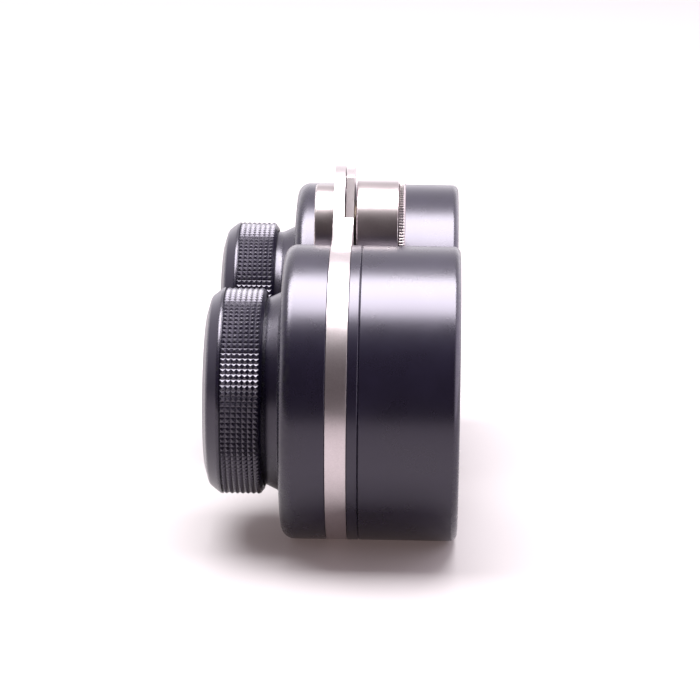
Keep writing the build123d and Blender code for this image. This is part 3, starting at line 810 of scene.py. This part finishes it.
for side in SIDES:
    barrel, ocular = side + "_barrel", side + "_ocular"
    front_tube(side)
    rear_housing(side)
    lock_ring(side)
    arm(side)
    focus_grip(side)
    eye_bezel(side)
    lens(side, "objective_front_lens", 1.8, 3.0, OBJECTIVE_R, "objective_glass", barrel)
    lens(side, "objective_rear_lens", 0, -1.6, OBJECTIVE_R, "objective_glass", barrel)
    lens(side, "ocular_field_lens", -1.0, -1.2, OCULAR_R, "ocular_glass", ocular)
    lens(side, "ocular_eye_lens", -0.8, 0.4, OCULAR_R, "ocular_glass", ocular)
    retaining_ring(side, "objective_retainer", OBJECTIVE_R, True, "black_turned", barrel)
    retaining_ring(side, "ocular_retainer", OCULAR_R, False, "black_turned", ocular)
hinge()

# CAD nodes that are shown as they are
KEPT = {
    "objective_spacer": "black_matt", "light_baffle": "black_matt", "ocular_cell": "black_matt",
    "ocular_spacer": "black_matt", "arm_dowel": "steel", "focus_key": "steel", "ocular_clip": "steel",
}
KEPT_HINGE = {
    "hinge_axle": "steel", "hinge_mid_washer": "bronze", "hinge_front_washer": "bronze",
    "hinge_spring_washer": "steel", "hinge_tension_nut": "bronze", "hinge_stop_pin": "steel",
}
kept = {side + "_" + part: material for side in SIDES for part, material in KEPT.items()}
kept.update(KEPT_HINGE)
for name, material in kept.items():
    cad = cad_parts[name]
    cad.data.materials.clear()
    cad.data.materials.append(MATERIALS[material])

# ---------------------------------------------------------------- floor, light and camera, in metres
FLOOR_HALF = 6.0
FLOOR_FRONT = -0.27
floor_mesh = bpy.data.meshes.new("floor")
floor_mesh.from_pydata([(-FLOOR_HALF, FLOOR_FRONT, 0), (FLOOR_HALF, FLOOR_FRONT, 0),
                        (FLOOR_HALF, FLOOR_HALF, 0), (-FLOOR_HALF, FLOOR_HALF, 0)], [], [(0, 1, 2, 3)])
floor = bpy.data.objects.new("floor", floor_mesh)
bpy.context.scene.collection.objects.link(floor)
floor_material = bpy.data.materials.new("floor_paper_painted_glow")
floor_material.use_nodes = True
floor_shader = floor_material.node_tree.nodes["Principled BSDF"]
floor_shader.inputs["Base Color"].default_value = (0.31, 0.295, 0.3, 1)
floor_shader.inputs["Roughness"].default_value = 0.5
# Painted glow: the floor gives off a faint warm light of its own, though it is no lamp, which lifts the
# shade under and round the binocular
floor_shader.inputs["Emission Color"].default_value = (1.0, 0.72, 0.7, 1)
floor_shader.inputs["Emission Strength"].default_value = 0.09
floor_mesh.materials.append(floor_material)

SOFTBOX_HEIGHT = 0.9
SOFTBOX_FRONT_Y = -0.24
SOFTBOX_BACK_Y = 0.385
SOFTBOX_LEFT_X = -0.64
SOFTBOX_RIGHT_X = 0.36
SOFTBOX_RADIANCE = 17.4
light = bpy.data.lights.new("softbox", "AREA")
light.shape = "RECTANGLE"
light.size = SOFTBOX_RIGHT_X - SOFTBOX_LEFT_X
light.size_y = SOFTBOX_BACK_Y - SOFTBOX_FRONT_Y
light.energy = SOFTBOX_RADIANCE * math.pi * light.size * light.size_y
light.color = (1.0, 0.985, 1.0)
softbox = bpy.data.objects.new("softbox", light)
softbox.location = ((SOFTBOX_LEFT_X + SOFTBOX_RIGHT_X) / 2,
                    (SOFTBOX_FRONT_Y + SOFTBOX_BACK_Y) / 2, SOFTBOX_HEIGHT)
bpy.context.scene.collection.objects.link(softbox)

# The room: dark in front, a pale wall behind, a bright side on the right, white where it is seen
DARK_FRONT = (0.1, 0.08, 0.085)
LOW_WALL = (1.9, 1.82, 1.92)
HIGH_WALL = (1.05, 1.0, 1.05)
BRIGHT_SIDE = (3.2, 3.0, 3.3)
BACKDROP = (1.05, 1.05, 1.05)
world = bpy.data.worlds.new("room")
bpy.context.scene.world = world
world.use_nodes = True
sky = world.node_tree
sky.nodes.clear()
direction = sky.nodes.new("ShaderNodeSeparateXYZ")
sky.links.new(sky.nodes.new("ShaderNodeTexCoord").outputs["Generated"], direction.inputs[0])
wall = mix_colour(sky, ramp(sky, direction.outputs["Z"], 0.1, 0.5), LOW_WALL, HIGH_WALL)
room = mix_colour(sky, ramp(sky, direction.outputs["Y"], -0.25, 0.25), DARK_FRONT, wall)
room = mix_colour(sky, ramp(sky, direction.outputs["X"], 0.35, 0.7), room, BRIGHT_SIDE)
seen = sky.nodes.new("ShaderNodeLightPath").outputs["Is Camera Ray"]
room = mix_colour(sky, seen, room, BACKDROP)
background = sky.nodes.new("ShaderNodeBackground")
sky.links.new(room, background.inputs["Color"])
sky.links.new(background.outputs[0], sky.nodes.new("ShaderNodeOutputWorld").inputs[0])

CAMERA_PLACE = (0.01627, -0.5604, 0.17295)
CAMERA_LENS = 154.41
CAMERA_YAW = -0.0242
CAMERA_PITCH = -0.2537
CAMERA_ROLL = 0.0095
camera = bpy.data.objects.new("camera", bpy.data.cameras.new("camera"))
bpy.context.scene.collection.objects.link(camera)
camera.data.sensor_width = 36.0
camera.data.lens = CAMERA_LENS
camera.data.clip_start = 0.05
camera.location = CAMERA_PLACE
forward = Vector((math.sin(CAMERA_YAW) * math.cos(CAMERA_PITCH),
                  math.cos(CAMERA_YAW) * math.cos(CAMERA_PITCH), math.sin(CAMERA_PITCH)))
camera.rotation_mode = "QUATERNION"
camera.rotation_quaternion = forward.to_track_quat("-Z", "Y") @ Quaternion((0, 0, 1), CAMERA_ROLL)
bpy.context.scene.camera = camera
bpy.context.scene.view_settings.view_transform = "Standard"
